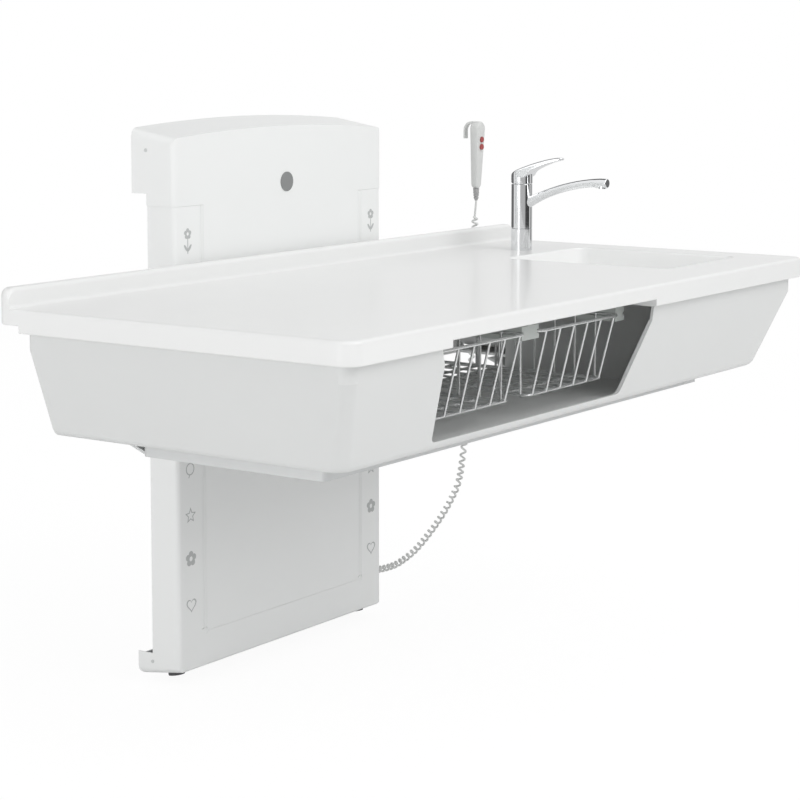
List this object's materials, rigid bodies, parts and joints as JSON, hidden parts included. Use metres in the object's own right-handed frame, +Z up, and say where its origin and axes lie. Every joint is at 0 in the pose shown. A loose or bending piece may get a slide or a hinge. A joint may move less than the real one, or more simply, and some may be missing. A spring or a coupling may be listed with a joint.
{
  "type": "changing table with washbasin",
  "caption": "Wall-mounted, height-adjustable changing table with integrated washbasin, mixer tap, pull-out wire baskets and a corded hand control.",
  "frame": {"origin": "on the wall plane, at the middle of the column's back", "axes": "+X along the table towards the washbasin, +Y into the wall, +Z up"},
  "size_m": [1.414, 0.757, 0.9406],
  "materials": {
    "cover_white": "satin powder coat",
    "cast_white": "smooth white gel coat",
    "shell_white": "satin white",
    "steel_zinc": "zinc plated",
    "steel_dark": "grey powder coat",
    "shaft_steel": "ground",
    "block_dark": "matt",
    "box_grey": "satin",
    "bronze": "machined",
    "seal_grey": "matt brush seal",
    "screw_grey": "plated",
    "badge_grey": "satin dark grey",
    "print_grey": "flat print",
    "foot_rubber": "matt",
    "cord_white": "satin jacket",
    "relief_grey": "matt",
    "handset_grey": "satin",
    "board_green": "satin",
    "key_red": "satin",
    "chrome": "polished",
    "copper": "drawn copper",
    "runner_grey": "moulded",
    "wire_chrome": "plated wire",
    "plate_alu": "satin anodised",
    "drain_white": "moulded",
    "spring_steel": "plain",
    "switch_black": "matt"
  },
  "bodies": {
    "column": {"wall_plate": "steel_zinc", "cover_brackets": "steel_zinc", "guide_shafts": "shaft_steel", "shaft_blocks": "block_dark", "screw_bearings": "block_dark", "lift_motor": "steel_dark", "control_box": "box_grey", "lower_cover": "cover_white", "hood_panel": "cover_white", "slot_seals": "seal_grey", "cover_screws": "screw_grey", "badge_disc": "badge_grey", "panel_motifs": "print_grey", "rubber_feet": "foot_rubber", "cord_gland": "handset_grey", "curly_cord": "cord_white", "cord_relief": "relief_grey", "handset_front": "handset_grey", "handset_back": "handset_grey", "switch_board": "board_green"},
    "table": {"lift_carriage": "steel_dark", "carriage_bushes": "bronze", "screw_nut": "bronze", "support_arms": "steel_dark", "arm_bolts": "screw_grey", "rear_beam": "steel_dark", "deck_rails": "steel_dark", "table_top": "cast_white", "wash_bowl": "cast_white", "apron_shell": "shell_white", "apron_screws": "screw_grey", "basket_runners": "runner_grey", "bay_screen": "shell_white", "basin_waste": "chrome", "waste_trap": "drain_white", "mixer_foot": "chrome", "mixer_nut": "screw_grey", "supply_pipes": "copper", "plate_studs": "screw_grey", "stud_nuts": "screw_grey", "plate_springs": "spring_steel", "safety_switch": "switch_black"},
    "lift_screw": {"lift_screw": "shaft_steel"},
    "safety_plate": {"safety_plate": "plate_alu"},
    "spout": {"mixer_spout": "chrome", "spout_aerator": "block_dark"},
    "lever_stem": {"lever_stem": "screw_grey"},
    "mixer_lever": {"mixer_lever": "chrome"},
    "left_basket": {"left_basket": "wire_chrome"},
    "right_basket": {"right_basket": "wire_chrome"},
    "up_button": {"up_button": "key_red"},
    "down_button": {"down_button": "key_red"},
    "waste_plug": {"waste_plug": "chrome"}
  },
  "joints": [
    {"name": "lift", "type": "slide", "parent": "column", "child": "table", "axis": [0, 0, 1], "range_m": [-0.38, 0.15]},
    {"name": "lift_screw_turn", "type": "hinge", "parent": "column", "child": "lift_screw", "pos_m": [0, -0.042, 0], "axis": [0, 0, 1], "range_deg": [-6900, 2750]},
    {"name": "safety_plate_lift", "type": "slide", "parent": "table", "child": "safety_plate", "axis": [0, 0, 1], "range_m": [0, 0.005], "stiffness_N_per_m": 3000, "springref_m": -0.012, "deforming": ["plate_springs"]},
    {"name": "spout_swivel", "type": "hinge", "parent": "table", "child": "spout", "pos_m": [0.52, -0.258, 0.286], "axis": [0, 0, 1], "range_deg": [-60, 60]},
    {"name": "lever_turn", "type": "hinge", "parent": "spout", "child": "lever_stem", "pos_m": [0.52, -0.258, 0.326], "axis": [0, 0, 1], "range_deg": [-45, 45]},
    {"name": "lever_lift", "type": "hinge", "parent": "lever_stem", "child": "mixer_lever", "pos_m": [0.52, -0.246, 0.339], "axis": [-1, 0, 0], "range_deg": [0, 15]},
    {"name": "left_basket_slide", "type": "slide", "parent": "table", "child": "left_basket", "axis": [0, -1, 0], "range_m": [0, 0.3]},
    {"name": "right_basket_slide", "type": "slide", "parent": "table", "child": "right_basket", "axis": [0, -1, 0], "range_m": [0, 0.3]},
    {"name": "up_button_press", "type": "slide", "parent": "column", "child": "up_button", "axis": [0, 1, 0], "range_m": [0, 0.0012], "stiffness_N_per_m": 900, "springref_m": -0.002},
    {"name": "down_button_press", "type": "slide", "parent": "column", "child": "down_button", "axis": [0, 1, 0], "range_m": [0, 0.0012], "stiffness_N_per_m": 900, "springref_m": -0.002},
    {"name": "waste_plug_lift", "type": "slide", "parent": "table", "child": "waste_plug", "axis": [0, 0, 1], "range_m": [0, 0.006]}
  ],
  "couplings": [
    {"joint": "lift_screw_turn", "follows": "lift", "rad_per_m": 314.16}
  ]
}
